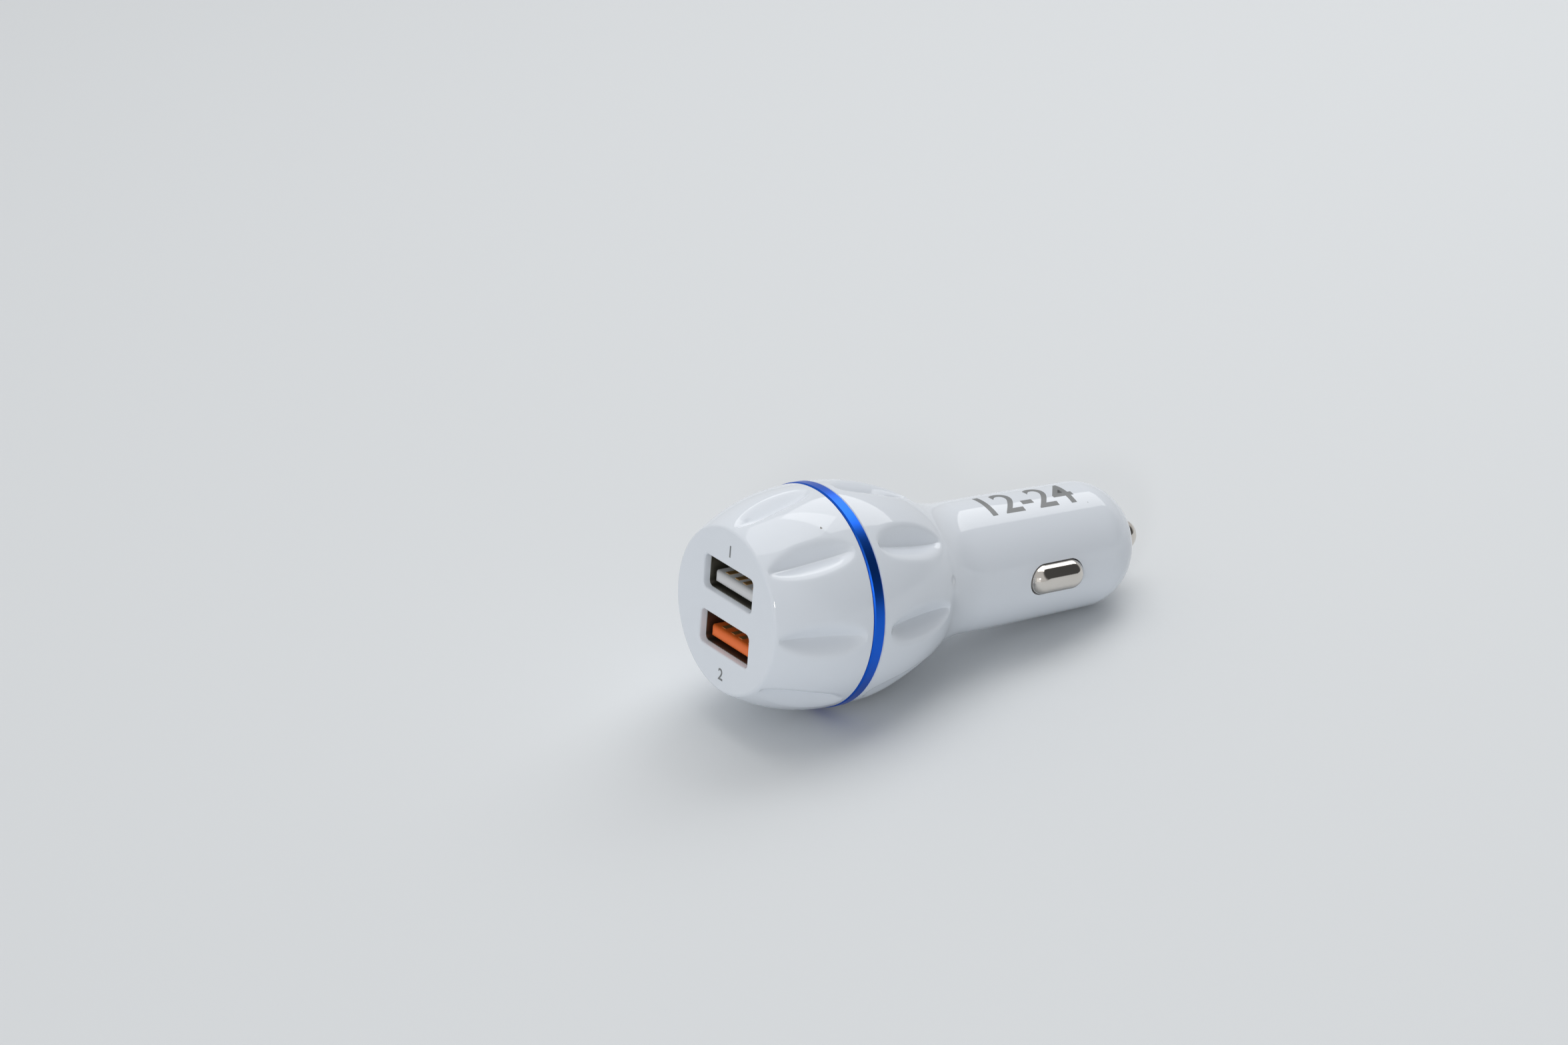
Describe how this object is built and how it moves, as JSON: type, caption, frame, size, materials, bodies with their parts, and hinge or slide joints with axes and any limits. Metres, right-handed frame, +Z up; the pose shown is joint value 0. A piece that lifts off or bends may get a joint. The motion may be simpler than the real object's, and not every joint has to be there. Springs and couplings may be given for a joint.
{
  "type": "car usb charger plug",
  "caption": "Round car charger plug with a dimpled bulb head, a trim ring, stacked USB sockets in its flat face, and a barrel with a sprung tip and sprung side contacts.",
  "frame": {"origin": "on the table under the middle of the plug, which lies on two rims of its bulb and on its nose", "axes": "+Z up, +Y along the table from the sockets' face towards the tip, +X to the right seen from the face"},
  "size_m": [0.0346, 0.0804, 0.0349],
  "materials": {
    "white_plastic": "glossy moulded plastic, cool white",
    "blue_ring": "anodised aluminium, satin blue",
    "port_steel": "drawn plated steel",
    "white_tongue": "moulded plastic, white",
    "orange_tongue": "moulded plastic, orange",
    "pin_gold": "gold-plated contacts",
    "board_green": "glass-fibre board with green solder mask",
    "can_aluminium": "aluminium can on a dark base",
    "ferrite": "sintered ferrite",
    "copper": "enamelled copper wire",
    "chip_black": "moulded package",
    "ceramic_tan": "fired ceramic",
    "nickel": "polished nickel plate",
    "spring_steel": "drawn spring steel"
  },
  "bodies": {
    "plug": {"front_cover": "white_plastic", "trim_ring": "blue_ring", "rear_housing": "white_plastic", "usb_shell_upper": "port_steel", "usb_shell_lower": "port_steel", "usb_tongue_upper": "white_tongue", "usb_tongue_lower": "orange_tongue", "usb_pins_upper": "pin_gold", "usb_pins_lower": "pin_gold", "port_board": "board_green", "main_board": "board_green", "output_capacitor": "can_aluminium", "input_capacitor": "can_aluminium", "inductor_core": "ferrite", "inductor_winding": "copper", "buck_controller": "chip_black", "charge_controller": "chip_black", "rectifier_diode": "chip_black", "chip_resistors": "chip_black", "chip_capacitors": "ceramic_tan", "tip_spring": "spring_steel", "ground_spring_right": "spring_steel", "ground_spring_left": "spring_steel"},
    "tip": {"tip_contact": "nickel"},
    "contact_right": {"ground_contact_right": "nickel"},
    "contact_left": {"ground_contact_left": "nickel"}
  },
  "joints": [
    {"name": "tip_slide", "type": "slide", "parent": "plug", "child": "tip", "axis": [0, -0.9896, 0.1442], "range_m": [0, 0.0025], "stiffness_N_per_m": 800, "springref_m": -0.003, "deforming": ["tip_spring"]},
    {"name": "contact_right_slide", "type": "slide", "parent": "plug", "child": "contact_right", "axis": [-1, 0, 0], "range_m": [0, 0.0014], "stiffness_N_per_m": 1500, "springref_m": -0.001, "deforming": ["ground_spring_right"]},
    {"name": "contact_left_slide", "type": "slide", "parent": "plug", "child": "contact_left", "axis": [1, 0, 0], "range_m": [0, 0.0014], "stiffness_N_per_m": 1500, "springref_m": -0.001, "deforming": ["ground_spring_left"]}
  ]
}
